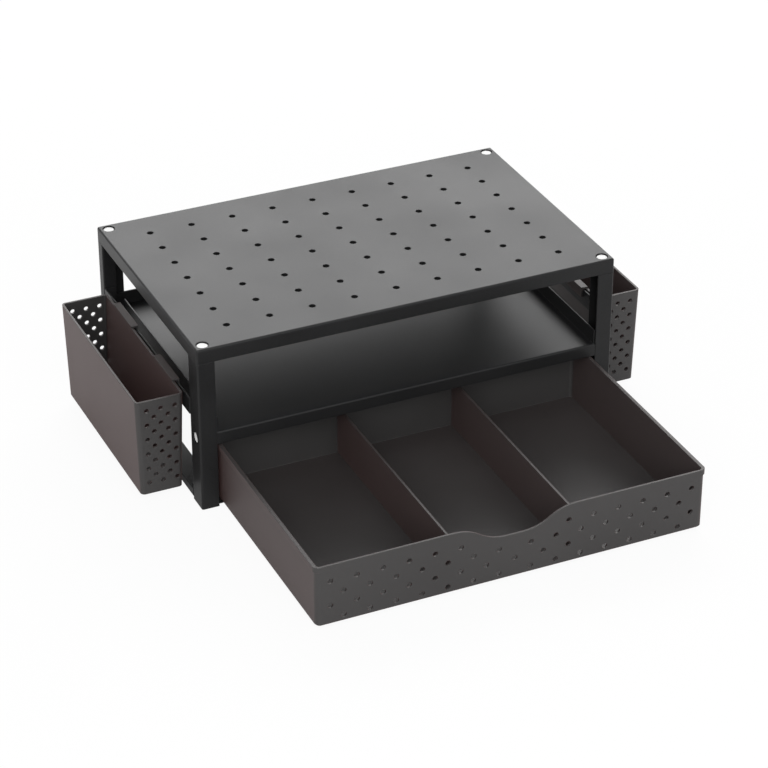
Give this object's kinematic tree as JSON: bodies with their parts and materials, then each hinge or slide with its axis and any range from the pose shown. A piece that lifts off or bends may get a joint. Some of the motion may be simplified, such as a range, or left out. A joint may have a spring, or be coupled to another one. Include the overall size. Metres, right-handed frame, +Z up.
{
  "type": "monitor stand",
  "caption": "Perforated black steel desk riser on four folded legs, with a middle shelf, a sliding drawer split into bays and a lift-off perforated basket on each side.",
  "frame": {"origin": "on the floor plane, mid-way in X and Y of the whole object with its drawer standing out as in the picture", "axes": "+X to the user's right, +Y from the front to the back, +Z up"},
  "size_m": [0.492, 0.4578, 0.16],
  "materials": {
    "black_steel": "matte black powder coat",
    "black_plastic": "matte black moulded plastic",
    "white_plastic": "smooth white",
    "zinc_fasteners": "zinc plated",
    "rubber": "matte"
  },
  "bodies": {
    "frame": {"top_panel": "black_steel", "front_left_leg": "black_steel", "front_right_leg": "black_steel", "rear_left_leg": "black_steel", "rear_right_leg": "black_steel", "left_hook_rail": "black_steel", "right_hook_rail": "black_steel", "left_bottom_rail": "black_steel", "right_bottom_rail": "black_steel", "middle_shelf": "black_steel", "top_screws": "zinc_fasteners", "side_screws": "zinc_fasteners", "rear_screws": "zinc_fasteners", "top_nuts": "zinc_fasteners", "side_nuts": "zinc_fasteners", "rear_nuts": "zinc_fasteners", "top_caps": "white_plastic", "side_caps": "white_plastic", "foot_pads": "rubber", "top_liner": "rubber"},
    "drawer": {"drawer_tray": "black_plastic"},
    "left_basket": {"left_basket": "black_plastic"},
    "right_basket": {"right_basket": "black_plastic"}
  },
  "joints": [
    {"name": "drawer_slide", "type": "slide", "parent": "frame", "child": "drawer", "axis": [0, -1, 0], "range_m": [-0.206, 0.014]},
    {"name": "left_basket_lift", "type": "slide", "parent": "frame", "child": "left_basket", "axis": [0, 0, 1], "range_m": [0, 0.02]},
    {"name": "right_basket_lift", "type": "slide", "parent": "frame", "child": "right_basket", "axis": [0, 0, 1], "range_m": [0, 0.02]}
  ]
}
